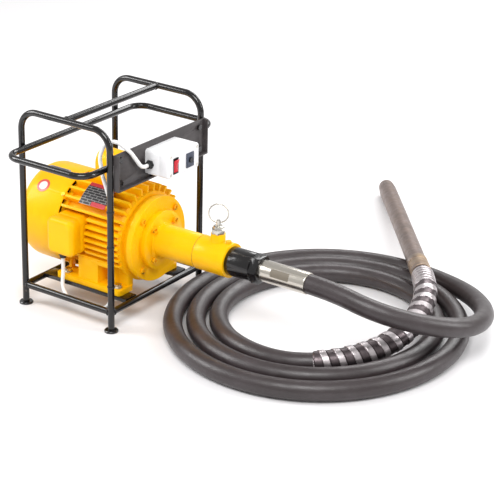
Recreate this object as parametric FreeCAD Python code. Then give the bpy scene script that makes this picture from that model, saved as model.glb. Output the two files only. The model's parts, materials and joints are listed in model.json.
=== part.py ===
import FreeCAD, Part
import math
import os
from FreeCAD import Vector

"""Electric concrete vibrator: a caged motor that drives a poker through a flexible hose.

Millimetres, +Z up. The motor's axis runs along X and its drive end points to +X. The origin is
on the floor, at the middle of the plan of everything but the hose, so the cage stands at
(-X, -Y) and the poker lies towards (+X, +Y). Places below are given from the middle of the
cage's four feet, and CAGE_X and CAGE_Y move them to the origin when a node is written.
"""

# ---- where the cage stands ----
CAGE_X = -180.8
CAGE_Y = -302.1

# ---- the cage, bent and welded from round bar ----
BAR_D = 12.7
LEG_X = 106.4          # half the spacing of the legs along the motor
LEG_Y = 138.0          # half the spacing of the legs across the motor
TOP_Z = 395.0          # centreline of the hoops' top bars
HOOP_BEND = 37.0
RAIL_Z = 39.0          # centreline of the base rails
GUARD_Z = 322.0        # centreline of the guard rail
GUARD_Y = 198.0
GUARD_BEND = 30.0
WELD = 0.7             # how far a bar is notched where it is welded to another
FOOT_D = 27.0
FOOT_T = 4.0

# ---- motor ----
AXIS_Y = 5.0
SHAFT_HEIGHT = 96.6
SEAT_RISE = 1.0        # the feet's undersides above the tops of the base rails
BEARER_T = 7.6
BEARER_W = 32.0
FOOT_SEAT_Z = RAIL_Z + BAR_D / 2 + SEAT_RISE
AXIS_Z = FOOT_SEAT_Z + SHAFT_HEIGHT
BODY_BACK = -66.0
BODY_FRONT = 84.0
SHELL_R = 80.0
SHELL_IN_R = 72.0
FIN_R = 94.0
TOP_FIN_R = 102.0      # the fins that fan out over the top stand prouder
TOP_FIN_PITCH = 11.5   # degrees
FIN_T = 5.0
FLANGE_R = 84.0
FLANGE_BACK = 94.0
FLANGE_FRONT = 108.0
COWL_R = 96.0
COWL_T = 2.0
COWL_FRONT = -68.0
COWL_BACK = -175.0
COWL_ROUND = 30.0
HOLD_DOWN_X = 125.0    # motor foot bolts, along and across the motor
HOLD_DOWN_Y = 156.0
FOOT_MID_X = 8.0
FOOT_PLATE_T = 11.0
BEARING_R = 26.0
BEARING_BORE_R = 12.5
RUNNING_GAP = 0.05
BEARING_W = 15.0
CORE_BACK = -45.0
CORE_FRONT = 60.0
ROTOR_R = 44.5
STATOR_BORE_R = 45.0

# ---- drive end ----
ADAPTOR_RING_R = 58.0
ADAPTOR_RING_FRONT = 120.0
TUBE_R = 32.5
TUBE_BORE_R = 26.0
TUBE_FRONT = 211.0
HOUSING_FRONT = 281.0
SOCKET_BACK = 229.0
SOCKET_R = 28.0
SOCKET_FRONT = 334.0
HEX_FRONT = 351.0
HEX_FLATS = 50.0
SPIGOT_R = 24.0
PIN_X = 248.0
BOSS_R = 14.0
BOSS_TOP = 190.0
NUT_TOP = 205.0
NUT_FLATS = 24.0
PIN_R = 5.0
EYE_Z = 211.5
SPRING_WELL_Z = 170.5
RING_WIRE = 3.0
RING_OD = 40.0
RING_TURN = 30.0       # the pull ring's plane, turned about the pin from the motor's axis
FERRULE_FRONT = 452.0
FERRULE_R = 20.5

# ---- hose, spiral guard and poker ----
END_GAP = 0.5          # between the flexible core and what it drives
HOSE_D = 37.0
HOSE_BORE_D = 22.0
CORE_D = 13.0
HOSE_START = 428.0
GUARD_RING_R = 22.3
GUARD_RING_W = 13.0
GUARD_RINGS = 17
GUARD_CLOSE_RINGS = 5
POKER_START = Vector(527, 294, 80)
POKER_END = Vector(144, 803, 19.6)
POKER_R = 19.0
POKER_BORE_R = 14.5
ADAPTER_R = 20.5
ADAPTER_LENGTH = 78.0
HOSE_STRAIGHT = 61.0   # how far before the poker the hose is in line with it
HOSE_IN_ADAPTER = 30.0
HOSE_FIT = 0.6
TIP_LENGTH = 46.0
POKER_LENGTH = (POKER_END - POKER_START).Length
ECC_BACK = ADAPTER_LENGTH + 40.0
ECC_FRONT = POKER_LENGTH - TIP_LENGTH - 36.0

# ---- switch ----
PLATE_T = 3.0
PLATE_Y = 136.0
PLATE_LOW = 283.0
PLATE_HIGH = 353.0
PLATE_LIP = 10.0
BOX_Y0 = -47.0
BOX_Y1 = 47.0
BOX_Z0 = 292.0
BOX_Z1 = 341.0
BOX_DEPTH = 55.0
LID_T = 22.0
LEAD_D = 7.5
LEAD_BEND = 30.0

X = Vector(1, 0, 0)
Y = Vector(0, 1, 0)
Z = Vector(0, 0, 1)
nodes = {}


def keep(name, *solids):
    """Write one node: a single solid, or a group of separate ones."""
    shape = solids[0] if len(solids) == 1 else Part.makeCompound(list(solids))
    shape = shape.copy()
    shape.translate(Vector(CAGE_X, CAGE_Y, 0))
    nodes[name] = shape


def cyl(start, direction, length, radius):
    return Part.makeCylinder(radius, length, start, direction)


def cyl_x(x0, x1, radius, y=AXIS_Y, z=AXIS_Z):
    return cyl(Vector(x0, y, z), X, x1 - x0, radius)


def ring_x(x0, x1, outer, inner):
    return cyl_x(x0, x1, outer).cut(cyl_x(x0 - 1, x1 + 1, inner))


def box(x0, x1, y0, y1, z0, z1):
    return Part.makeBox(x1 - x0, y1 - y0, z1 - z0, Vector(x0, y0, z0))


def rounded_box(x0, x1, y0, y1, z0, z1, radius, along):
    """A box whose four edges along one axis are rounded."""
    b = box(x0, x1, y0, y1, z0, z1)
    edges = [e for e in b.Edges if abs(e.tangentAt(e.FirstParameter).dot(along)) > 0.9]
    return b.makeFillet(radius, edges)


def hexagon(start, direction, length, flats):
    """A hexagonal bar from start along direction."""
    side = X if abs(direction.dot(X)) < 0.9 else Y
    across = direction.cross(side).normalize()
    side = across.cross(direction)
    radius = flats / math.sqrt(3)
    corners = []
    for i in range(7):
        a = math.radians(60 * i)
        corners.append(start + side * (radius * math.cos(a)) + across * (radius * math.sin(a)))
    return Part.Face(Part.makePolygon(corners)).extrude(direction * length)


def joined(solids):
    return solids[0].multiFuse(solids[1:]).removeSplitter() if len(solids) > 1 else solids[0]


def bend_radius(before, corner, after):
    """The largest arc that a cord's corner takes: 0.45 of the shorter run over tan(half turn)."""
    a, b = corner - before, after - corner
    return 0.45 * min(a.Length, b.Length) / math.tan(a.getAngle(b) / 2)


def rounded_path(points, radius=None, most=1e6):
    """Straight runs joined by tangent arcs, of one radius or each as large as its runs allow."""
    edges = []
    at = points[0]
    for before, corner, after in zip(points, points[1:], points[2:]):
        a = (corner - before).normalize()
        b = (after - corner).normalize()
        r = radius if radius else min(most, bend_radius(before, corner, after))
        half = a.getAngle(b) / 2
        inset = r * math.tan(half)
        start, end = corner - a * inset, corner + b * inset
        middle = corner + (b - a).normalize() * (r / math.cos(half) - r)
        if (start - at).Length > 1e-4:
            edges.append(Part.LineSegment(at, start).toShape())
        edges.append(Part.Arc(start, middle, end).toShape())
        at = end
    edges.append(Part.LineSegment(at, points[-1]).toShape())
    return Part.Wire(edges)


def circle_at(point, normal, radius):
    return Part.Wire(Part.Circle(point, normal, radius).toShape())


def bar_along(path, start, direction, radius):
    return path.makePipeShell([circle_at(start, direction, radius)], True, False)


def tube_along(path, start, direction, outer, inner):
    """A hollow tube: the outer sweep less the inner one, which runs on past both ends."""
    return bar_along(path, start, direction, outer).cut(bar_along(path, start, direction, inner))


# ---------------------------------------------------------------- cage
def hoop(y):
    points = [Vector(-LEG_X, y, FOOT_T), Vector(-LEG_X, y, TOP_Z)]
    points += [Vector(LEG_X, y, TOP_Z), Vector(LEG_X, y, FOOT_T)]
    return bar_along(rounded_path(points, HOOP_BEND), points[0], Z, BAR_D / 2)


def guard_rail():
    """A closed ring of bar inside the legs, standing out past both hoops as carrying handles."""
    gx = LEG_X - BAR_D + WELD
    start = Vector(gx, 0, GUARD_Z)
    corners = [(gx, GUARD_Y), (-gx, GUARD_Y), (-gx, -GUARD_Y), (gx, -GUARD_Y)]
    points = [start] + [Vector(cx, cy, GUARD_Z) for cx, cy in corners] + [start]
    return bar_along(rounded_path(points, GUARD_BEND), start, Y, BAR_D / 2)


hoops = {"hoop_near": hoop(-LEG_Y), "hoop_far": hoop(LEG_Y)}
both_hoops = Part.makeCompound(list(hoops.values()))
for name, shape in hoops.items():
    keep(name, shape)
keep("lift_handle", cyl(Vector(0, -LEG_Y, TOP_Z), Y, 2 * LEG_Y, BAR_D / 2).cut(both_hoops))
keep("guard_rail", guard_rail().cut(both_hoops))
rails = []
for side in (-1, 1):
    rails.append(cyl(Vector(-LEG_X, side * LEG_Y, RAIL_Z), X, 2 * LEG_X, BAR_D / 2))
    rails.append(cyl(Vector(side * LEG_X, -LEG_Y, RAIL_Z), Y, 2 * LEG_Y, BAR_D / 2))
keep("base_rails", *[max(rail.cut(both_hoops).Solids, key=lambda s: s.Volume) for rail in rails])

feet = []
for x in (-LEG_X, LEG_X):
    for y in (-LEG_Y, LEG_Y):
        disc = cyl(Vector(x, y, 0), Z, FOOT_T, FOOT_D / 2)
        feet.append(disc.makeChamfer(1.2, [disc.Edges[0]]))
keep("feet", *feet)

bearer_top = FOOT_SEAT_Z
bolt_places = []
for side in (-1, 1):
    for end in (-1, 1):
        bolt_places.append((FOOT_MID_X + end * HOLD_DOWN_X / 2, AXIS_Y + side * HOLD_DOWN_Y / 2))
bearers = []
for side in (-1, 1):
    mid = AXIS_Y + side * HOLD_DOWN_Y / 2
    end_x = LEG_X - BAR_D / 2 + 2
    bar = box(-end_x, end_x, mid - BEARER_W / 2, mid + BEARER_W / 2, bearer_top - BEARER_T, bearer_top)
    bar = bar.cut(Part.makeCompound(rails))
    for x, y in bolt_places:
        bar = bar.cut(cyl(Vector(x, y, bearer_top - 20), Z, 40, 4.5))
    bearers.append(bar)
keep("motor_bearers", *bearers)

# ---------------------------------------------------------------- motor housing
TERMINAL_X = (-66.0, -2.0)
TERMINAL_Z = (112.0, 186.0)
TERMINAL_JOINT_Y = -96.0
TERMINAL_FRONT_Y = -122.0
CAP_X = (-28.0, 22.0)
CAP_HALF = 27.0
CAP_TOP = 300.0


def fins():
    """Level fins on the two sides, and fins that fan out over the top."""
    made = []
    for side in (-1, 1):
        for i in range(-3, 4):
            z = AXIS_Z + i * 13.0
            y0 = AXIS_Y + side * (SHELL_R - 12)
            y1 = AXIS_Y + side * (FIN_R + 4)
            made.append(box(BODY_BACK + 4, BODY_FRONT - 2, min(y0, y1), max(y0, y1),
                            z - FIN_T / 2, z + FIN_T / 2))
    envelope = cyl_x(BODY_BACK, BODY_FRONT, FIN_R)
    made = [fin.common(envelope) for fin in made]
    top_envelope = cyl_x(BODY_BACK, BODY_FRONT, TOP_FIN_R)
    for i in range(-5, 6):
        fin = box(BODY_BACK + 4, BODY_FRONT - 2, -FIN_T / 2, FIN_T / 2, SHELL_R - 3, TOP_FIN_R + 4)
        fin.rotate(Vector(0, 0, 0), X, TOP_FIN_PITCH * i)
        fin.translate(Vector(0, AXIS_Y, AXIS_Z))
        made.append(fin.common(top_envelope))
    hollow = cyl_x(BODY_BACK - 1, BODY_FRONT + 1, SHELL_R - 1)
    return [fin.cut(hollow) for fin in made]


def foot_side(side):
    """One cast foot: a base plate, a solid block and a web either side of a pocket, and a back wall.

    Each upright is given by its two ends along the motor, how far it reaches out from the axis and
    the height of its underside.
    """
    y_out = AXIS_Y + side * 92.0
    y_in = AXIS_Y + side * 48.0
    lo, hi = min(y_out, y_in), max(y_out, y_in)
    plate = rounded_box(BODY_BACK - 6, BODY_FRONT + 1, lo, hi, FOOT_SEAT_Z, FOOT_SEAT_Z + FOOT_PLATE_T, 6, Z)
    low, lintel = FOOT_SEAT_Z + 8, AXIS_Z - 48
    uprights = []
    for x0, x1, reach, z0 in ((BODY_BACK, BODY_BACK + 5, 60.0, low), (-21, 27, 86.0, low),
                              (27, 52, 54.0, low), (27, 52, 86.0, lintel), (52, 60, 86.0, low),
                              (60, BODY_FRONT - 1, 62.0, low)):
        web_lo, web_hi = sorted((AXIS_Y + side * reach, y_in))
        uprights.append(box(x0, x1, web_lo, web_hi, z0, AXIS_Z - 40))
    return [plate] + uprights


def stator_frame():
    shell = cyl_x(BODY_BACK, BODY_FRONT, SHELL_R)
    pieces = [shell] + fins() + foot_side(-1) + foot_side(1)
    pieces.append(cyl_x(BODY_FRONT - 9, BODY_FRONT, FIN_R - 6))
    pieces.append(cyl_x(BODY_BACK, BODY_BACK + 6, FIN_R - 8))
    body = joined(pieces)
    body = body.cut(cyl_x(BODY_BACK - 20, BODY_FRONT + 20, SHELL_IN_R))
    body = body.cut(box(-90, 100, -200, 200, 0, FOOT_SEAT_Z))
    for x, y in bolt_places:
        body = body.cut(cyl(Vector(x, y, FOOT_SEAT_Z - 1), Z, FOOT_PLATE_T + 2, 5.0))
    shell_surface = cyl_x(BODY_BACK - 20, BODY_FRONT + 20, SHELL_R)
    seat = box(TERMINAL_X[0] - 0.01, TERMINAL_X[1] + 1.5, -140, AXIS_Y, TERMINAL_Z[0] - 1.5,
               TERMINAL_Z[1] + 1.5)
    saddle = box(CAP_X[0] - 1, CAP_X[1] + 1, AXIS_Y - CAP_HALF - 1, AXIS_Y + CAP_HALF + 1,
                 AXIS_Z, CAP_TOP + 5)
    return body.cut(seat.cut(shell_surface)).cut(saddle.cut(shell_surface))


def front_end_shield():
    """The drive-end shield and its round flange, one casting."""
    body = joined([ring_x(BODY_FRONT, FLANGE_BACK, SHELL_R, BEARING_R),
                   ring_x(FLANGE_BACK, FLANGE_FRONT, FLANGE_R, BEARING_R)])
    rims = [e for e in body.Edges if e.Closed and abs(e.BoundBox.YLength - 2 * FLANGE_R) < 0.5]
    body = body.makeFillet(1.5, rims)
    pocket = cyl_x(BODY_FRONT - 1, BODY_FRONT + 4, SHELL_IN_R)
    body = body.cut(pocket)
    for y, z in round_places(71.0, 4, 45):
        body = body.cut(cyl_x(BODY_FRONT - 1, FLANGE_FRONT + 1, 4.0, y, z))
    for y, z in round_places(45.0, 4, 45):
        body = body.cut(cyl_x(BODY_FRONT + 4, FLANGE_FRONT + 1, 4.0, y, z))
    return body


def round_places(radius, count, first):
    """Places about the motor's axis, as (y, z)."""
    made = []
    for i in range(count):
        a = math.radians(first + 360.0 * i / count)
        made.append((AXIS_Y + radius * math.cos(a), AXIS_Z + radius * math.sin(a)))
    return made


def rear_end_shield():
    body = joined([ring_x(BODY_BACK - 8, BODY_BACK, SHELL_R + 2, BEARING_R),
                   ring_x(BODY_BACK - 16, BODY_BACK, BEARING_R + 9, BEARING_R)])
    lugs = []
    for i in range(4):
        lug = box(BODY_BACK - 8, BODY_BACK, -7, 7, SHELL_R - 6, COWL_R - COWL_T)
        lug = lug.common(cyl(Vector(BODY_BACK - 9, 0, 0), X, 20, COWL_R - COWL_T))
        lug.rotate(Vector(0, 0, 0), X, 45 + 90 * i)
        lug.translate(Vector(0, AXIS_Y, AXIS_Z))
        lugs.append(lug)
    body = joined([body] + lugs)
    for i in range(4):
        body = body.cut(radial_hole(i, 2.0))
    return body


def radial_hole(i, radius):
    """The hole or shank of one of the cowl's four screws."""
    a = math.radians(45 + 90 * i)
    out = Vector(0, math.sin(a), math.cos(a))
    start = Vector(BODY_BACK - 5, AXIS_Y, AXIS_Z) + out * (COWL_R - 12)
    return cyl(start, out, 12, radius)


def fan_cowl():
    """A pressed cover, open to the front, with a rounded back and rings of air holes."""
    outer = cyl_x(COWL_BACK, COWL_FRONT, COWL_R)
    outer = outer.makeFillet(COWL_ROUND, [e for e in outer.Edges
                                          if e.Closed and abs(e.CenterOfMass.x - COWL_BACK) < 0.1])
    inner = cyl_x(COWL_BACK + COWL_T, COWL_FRONT + 10, COWL_R - COWL_T)
    inner = inner.makeFillet(COWL_ROUND - COWL_T,
                             [e for e in inner.Edges
                              if e.Closed and abs(e.CenterOfMass.x - COWL_BACK - COWL_T) < 0.1])
    body = outer.cut(inner)
    holes = []
    for radius, count in ((16, 6), (30, 12), (44, 18), (58, 24)):
        for y, z in round_places(radius, count, 0):
            holes.append(cyl_x(COWL_BACK - 5, COWL_BACK + 8, 4.2, y, z))
    body = body.cut(Part.makeCompound(holes))
    for i in range(4):
        body = body.cut(radial_hole(i, 2.0))
    return body


def cowl_screws():
    made = []
    for i in range(4):
        a = math.radians(45 + 90 * i)
        out = Vector(0, math.sin(a), math.cos(a))
        head = Vector(BODY_BACK - 5, AXIS_Y, AXIS_Z) + out * COWL_R
        made.append(joined([radial_hole(i, 2.0), cyl(head, out, 2.4, 4.2)]))
    return made


keep("stator_frame", stator_frame())
keep("front_end_shield", front_end_shield())
keep("rear_end_shield", rear_end_shield())
keep("fan_cowl", fan_cowl())
keep("cowl_screws", *cowl_screws())
keep("stator_core", ring_x(CORE_BACK, CORE_FRONT, SHELL_IN_R, STATOR_BORE_R))
keep("stator_windings", ring_x(CORE_FRONT, CORE_FRONT + 18, 66, 49),
     ring_x(CORE_BACK - 18, CORE_BACK, 66, 49))
keep("motor_bearings", ring_x(BODY_FRONT, BODY_FRONT + BEARING_W, BEARING_R, BEARING_BORE_R),
     ring_x(BODY_BACK - BEARING_W, BODY_BACK, BEARING_R, BEARING_BORE_R))

# ---------------------------------------------------------------- what turns in the motor
SHAFT_R = 12.0
SHAFT_FRONT = 158.0
FAN_SEAT_R = 9.0
FAN_BACK = -130.0
FAN_FRONT = -100.0
FAN_R = 74.0


def motor_shaft():
    journal = BEARING_BORE_R - RUNNING_GAP
    return joined([cyl_x(FAN_BACK - 5, BODY_BACK - BEARING_W, FAN_SEAT_R),
                   cyl_x(BODY_BACK - BEARING_W, BODY_FRONT + BEARING_W, journal),
                   cyl_x(BODY_FRONT + BEARING_W, SHAFT_FRONT, SHAFT_R)])


def cooling_fan():
    hub = ring_x(FAN_BACK, FAN_FRONT, 18, FAN_SEAT_R)
    disc = ring_x(FAN_FRONT - 4, FAN_FRONT, FAN_R, FAN_SEAT_R)
    blades = []
    for i in range(7):
        blade = box(FAN_BACK + 2, FAN_FRONT - 2, -1.5, 1.5, 16, FAN_R)
        blade.rotate(Vector(0, 0, 0), X, 360.0 * i / 7)
        blade.translate(Vector(0, AXIS_Y, AXIS_Z))
        blades.append(blade)
    return joined([hub, disc] + blades)


keep("motor_shaft", motor_shaft())
keep("rotor_core", ring_x(CORE_BACK, CORE_FRONT, ROTOR_R, BEARING_BORE_R - RUNNING_GAP))
keep("cooling_fan", cooling_fan())
SPINDLE_BACK = 190.0
SPINDLE_FRONT = 336.0
SPINDLE_R = 7.5
COUPLING_R = 20.0
HEX_DRIVE = 14.0


def drive_coupling():
    """A sleeve fixed on the motor's shaft, with a hexagonal socket for the hose's spindle."""
    socket_end = SPINDLE_BACK + 18
    sleeve = cyl_x(BODY_FRONT + 40, socket_end, COUPLING_R)
    sleeve = sleeve.cut(cyl_x(BODY_FRONT + 39, SHAFT_FRONT, SHAFT_R))
    return sleeve.cut(hexagon(Vector(SPINDLE_BACK, AXIS_Y, AXIS_Z), X, 20, HEX_DRIVE))


def drive_spindle():
    tongue = hexagon(Vector(SPINDLE_BACK, AXIS_Y, AXIS_Z), X, 19, HEX_DRIVE - 0.2)
    return joined([tongue, cyl_x(SPINDLE_BACK + 18, SPINDLE_FRONT, SPINDLE_R - RUNNING_GAP)])


keep("drive_coupling", drive_coupling())
keep("drive_spindle", drive_spindle())

# ---------------------------------------------------------------- terminal box
t_x0, t_x1 = TERMINAL_X
t_z0, t_z1 = TERMINAL_Z
T_ROUND = 13.0
T_WALL = 3.0
T_FLOOR_Y = AXIS_Y - SHELL_R - 0.5


def terminal_body():
    outer = rounded_box(t_x0, t_x1, TERMINAL_JOINT_Y, AXIS_Y, t_z0, t_z1, T_ROUND, Y)
    hollow = rounded_box(t_x0 + T_WALL, t_x1 - T_WALL, TERMINAL_JOINT_Y - 1, T_FLOOR_Y,
                         t_z0 + T_WALL, t_z1 - T_WALL, T_ROUND - T_WALL, Y)
    body = outer.cut(cyl_x(t_x0 - 5, t_x1 + 5, SHELL_R)).cut(hollow)
    return max(body.Solids, key=lambda s: s.Volume)


def terminal_cover():
    outer = rounded_box(t_x0, t_x1, TERMINAL_FRONT_Y, TERMINAL_JOINT_Y, t_z0, t_z1, T_ROUND, Y)
    front = [e for e in outer.Edges if abs(e.BoundBox.YMax - TERMINAL_FRONT_Y) < 0.01]
    outer = outer.makeFillet(9.0, front)
    hollow = rounded_box(t_x0 + T_WALL, t_x1 - T_WALL, TERMINAL_FRONT_Y + T_WALL + 2,
                         TERMINAL_JOINT_Y + 1, t_z0 + T_WALL, t_z1 - T_WALL, T_ROUND - T_WALL, Y)
    return outer.cut(hollow)


GLAND_X = -38.0
GLAND_Y = -106.0
GLAND_REACH = 9.0
keep("terminal_box", terminal_body())
keep("terminal_cover", terminal_cover().cut(cyl(Vector(GLAND_X, GLAND_Y, t_z0 - 5), Z, 12, 6.0)))
board = box(t_x0 + 14, t_x1 - 14, TERMINAL_JOINT_Y + 4, TERMINAL_JOINT_Y + 10, t_z0 + 20, t_z1 - 16)
posts = []
for i in range(3):
    for z in (t_z0 + 30, t_z1 - 26):
        posts.append(cyl(Vector(t_x0 + 22 + 10 * i, TERMINAL_JOINT_Y - 4, z), Y, 9, 2.5))
feet_of_board = [box(x, x + 6, TERMINAL_JOINT_Y + 10, T_FLOOR_Y, t_z0 + 28, t_z0 + 44)
                 for x in (t_x0 + 14, t_x1 - 20)]
keep("terminal_board", joined([board] + posts + feet_of_board))


def cable_gland(start, direction, reach):
    """A gland's hexagon and dome outside a wall, and its thread through the wall."""
    hexed = hexagon(start, direction, reach * 0.45, 15.0)
    dome = cyl(start + direction * (reach * 0.45), direction, reach * 0.55, 6.6)
    thread = cyl(start - direction * 6, direction, 6, 6.0)
    bore = cyl(start - direction * 7, direction, reach + 8, LEAD_D / 2)
    return joined([hexed, dome, thread]).cut(bore)


terminal_gland = cable_gland(Vector(GLAND_X, GLAND_Y, t_z0), Z * -1, GLAND_REACH)

# ---------------------------------------------------------------- capacitor on top
def arched(x0, x1, half, top, low):
    """A prism along X with an arched top."""
    block = box(x0, x1, AXIS_Y - half, AXIS_Y + half, low, top - half)
    return joined([block, cyl_x(x0, x1, half, AXIS_Y, top - half)])


CAP_LOW = 60.0
CAP_ROUND = 5.0
cap_outer = arched(CAP_X[0], CAP_X[1], CAP_HALF, CAP_TOP, AXIS_Z + CAP_LOW)
cap_ends = [e for e in cap_outer.Edges
            if e.BoundBox.XLength < 0.01 and e.BoundBox.ZMin > AXIS_Z + CAP_LOW + 1]
cap_outer = cap_outer.makeFillet(CAP_ROUND, cap_ends)
cap_hollow = arched(CAP_X[0] + 3, CAP_X[1] - 3, CAP_HALF - 3, CAP_TOP - 3, AXIS_Z + CAP_LOW - 5)
cap_cover = cap_outer.cut(cap_hollow).cut(cyl_x(-100, 100, SHELL_R))
keep("capacitor_cover", max(cap_cover.Solids, key=lambda s: s.Volume))
can = cyl_x(CAP_X[0] + 8, CAP_X[1] - 12, 19, AXIS_Y, CAP_TOP - CAP_HALF)
cradle = box(CAP_X[0] + 14, CAP_X[1] - 18, AXIS_Y - 8, AXIS_Y + 8, AXIS_Z + 70,
             CAP_TOP - CAP_HALF - 10)
keep("capacitor", joined([can, cradle]).cut(cyl_x(-100, 100, SHELL_R)))

# ---------------------------------------------------------------- nameplate and motor fasteners
PLATE_LEANS = (22.0, 36.0, 50.0)   # degrees from straight up, towards -Y: its edges and middle
PLATE_X = (-24.0, 38.0)
wedge = [Vector(PLATE_X[0], AXIS_Y, AXIS_Z)]
for lean in PLATE_LEANS:
    a = math.radians(lean)
    wedge.append(wedge[0] + Vector(0, -math.sin(a), math.cos(a)) * 2 * TOP_FIN_R)
wedge_solid = Part.Face(Part.makePolygon(wedge + wedge[:1])).extrude(X * (PLATE_X[1] - PLATE_X[0]))
keep("nameplate", ring_x(*PLATE_X, TOP_FIN_R + 1.2, TOP_FIN_R).common(wedge_solid))


def bolt_down(x, y):
    """A hold-down bolt from above, with its nut under the bearer."""
    top = FOOT_SEAT_Z + FOOT_PLATE_T
    low = bearer_top - BEARER_T
    head = hexagon(Vector(x, y, top + 1.6), Z, 5.5, 13)
    washer = cyl(Vector(x, y, top), Z, 1.6, 9)
    shank = cyl(Vector(x, y, low - 8), Z, top - low + 9, 4.0)
    nut = hexagon(Vector(x, y, low - 6.5), Z, 6.5, 13)
    return joined([head, washer, shank, nut])


keep("foot_bolts", *[bolt_down(x, y) for x, y in bolt_places])


def cap_screw(x0, y, z, shank_length, radius, head_r, head_h):
    """A socket-head screw whose head stands on a face at x0 and points to +X."""
    shank = cyl_x(x0 - shank_length, x0 + 1, radius, y, z)
    head = cyl_x(x0, x0 + head_h, head_r, y, z)
    socket = hexagon(Vector(x0 + head_h * 0.45, y, z), X, head_h, head_r * 0.95)
    return joined([shank, head]).cut(socket)


flange_screws = [cap_screw(FLANGE_FRONT, y, z, 22, 3.9, 6.0, 4.0)
                 for y, z in round_places(71.0, 4, 45)]

# ---------------------------------------------------------------- adaptor tube and coupling housing
adaptor = joined([cyl_x(FLANGE_FRONT, ADAPTOR_RING_FRONT, ADAPTOR_RING_R),
                  cyl_x(FLANGE_FRONT, TUBE_FRONT, TUBE_R),
                  cyl_x(ADAPTOR_RING_FRONT, ADAPTOR_RING_FRONT + 2, TUBE_R + 2)])
adaptor = adaptor.cut(cyl_x(FLANGE_FRONT - 1, TUBE_FRONT + 1, TUBE_BORE_R))
for y, z in round_places(45.0, 4, 45):
    adaptor = adaptor.cut(cyl_x(FLANGE_FRONT - 1, ADAPTOR_RING_FRONT + 1, 4.0, y, z))
keep("adaptor_tube", adaptor)
flange_screws += [cap_screw(ADAPTOR_RING_FRONT, y, z, 24, 3.9, 6.0, 6.0)
                  for y, z in round_places(45.0, 4, 45)]
keep("flange_screws", *flange_screws)

boss_start = Vector(PIN_X, AXIS_Y, AXIS_Z)
housing = joined([cyl_x(TUBE_FRONT, HOUSING_FRONT, TUBE_R + 0.8),
                  cyl(boss_start, Z, BOSS_TOP - AXIS_Z, BOSS_R)])
housing = housing.cut(cyl_x(TUBE_FRONT - 1, 228, TUBE_BORE_R))
housing = housing.cut(cyl_x(227, HOUSING_FRONT + 1, SPIGOT_R + 0.05))
housing = housing.cut(cyl(boss_start, Z, BOSS_TOP - AXIS_Z - 4, PIN_R + 0.05))
housing = housing.cut(cyl(Vector(PIN_X, AXIS_Y, SPRING_WELL_Z), Z, 40, 9.0))
KNOB_X = 272.0
housing = housing.cut(cyl(Vector(KNOB_X, AXIS_Y, AXIS_Z + 28), Z, 20, 3.0))
keep("coupling_housing", housing)
knob = joined([cyl(Vector(KNOB_X, AXIS_Y, AXIS_Z + 28), Z, 7, 3.0),
               cyl(Vector(KNOB_X, AXIS_Y, AXIS_Z + TUBE_R + 0.8), Z, 4.5, 5.5)])
keep("grub_screw", knob.cut(cyl_x(227, HOUSING_FRONT + 1, SPIGOT_R + 0.05)))

# ---------------------------------------------------------------- spring lock pin
PIN_LOW = AXIS_Z + 20.0
COLLAR_LOW = SPRING_WELL_Z + 0.5
COLLAR_TOP = COLLAR_LOW + 2.5
PIN_HIGH = 216.5
nut = hexagon(Vector(PIN_X, AXIS_Y, BOSS_TOP), Z, NUT_TOP - BOSS_TOP - 5, NUT_FLATS)
nut = joined([nut, cyl(Vector(PIN_X, AXIS_Y, NUT_TOP - 5), Z, 5, 9.5),
              cyl(Vector(PIN_X, AXIS_Y, BOSS_TOP - 4), Z, 4, 9.0)])
keep("lock_nut", nut.cut(cyl(Vector(PIN_X, AXIS_Y, BOSS_TOP - 5), Z, 30, PIN_R - 0.95)))
stem_r = PIN_R - 1.0
pin = joined([cyl(Vector(PIN_X, AXIS_Y, PIN_LOW), Z, COLLAR_LOW - PIN_LOW, PIN_R),
              cyl(Vector(PIN_X, AXIS_Y, COLLAR_LOW), Z, COLLAR_TOP - COLLAR_LOW, 8.5),
              cyl(Vector(PIN_X, AXIS_Y, COLLAR_TOP), Z, PIN_HIGH - COLLAR_TOP, stem_r)])
turn = math.radians(RING_TURN)
eye = Vector(PIN_X, AXIS_Y, EYE_Z)
along_ring = Vector(math.cos(turn), math.sin(turn), 0)
keep("lock_pin", pin.cut(cyl(eye - along_ring * 10, along_ring, 20, RING_WIRE / 2 + 0.5)))
spring = cyl(Vector(PIN_X, AXIS_Y, COLLAR_TOP), Z, BOSS_TOP - 4 - COLLAR_TOP, 8.0)
keep("lock_spring", spring.cut(cyl(Vector(PIN_X, AXIS_Y, COLLAR_TOP - 1), Z, 20, stem_r + 0.6)))
ring_r = (RING_OD - RING_WIRE) / 2
ring = Part.makeTorus(ring_r, RING_WIRE / 2, eye + Z * ring_r, along_ring.cross(Z))
keep("pull_ring", ring)

# ---------------------------------------------------------------- hose end and ferrule
socket = joined([cyl_x(SOCKET_BACK, HOUSING_FRONT, SPIGOT_R),
                 cyl_x(HOUSING_FRONT, SOCKET_FRONT, SOCKET_R),
                 hexagon(Vector(SOCKET_FRONT, AXIS_Y, AXIS_Z), X, HEX_FRONT - SOCKET_FRONT, HEX_FLATS)])
groove = ring_x(PIN_X - 6, PIN_X + 6, SPIGOT_R + 1, SPIGOT_R - 5)
socket = socket.cut(groove).cut(cyl_x(220, 360, 10.0))
spindle_bearing_x = (SOCKET_BACK, SOCKET_FRONT - 12)
for x0 in spindle_bearing_x:
    socket = socket.cut(cyl_x(x0, x0 + 9, 16))
keep("hose_socket", socket)
keep("spindle_bearings", *[ring_x(x0, x0 + 9, 16, SPINDLE_R) for x0 in spindle_bearing_x])
ferrule = cyl_x(HEX_FRONT, FERRULE_FRONT, FERRULE_R)
ferrule = ferrule.makeFillet(1.5, [e for e in ferrule.Edges if e.Closed])
ferrule = ferrule.cut(cyl_x(HOSE_START, FERRULE_FRONT + 1, HOSE_D / 2))
keep("ferrule", ferrule.cut(cyl_x(HEX_FRONT - 1, HOSE_START + 1, HOSE_BORE_D / 2)))

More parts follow.
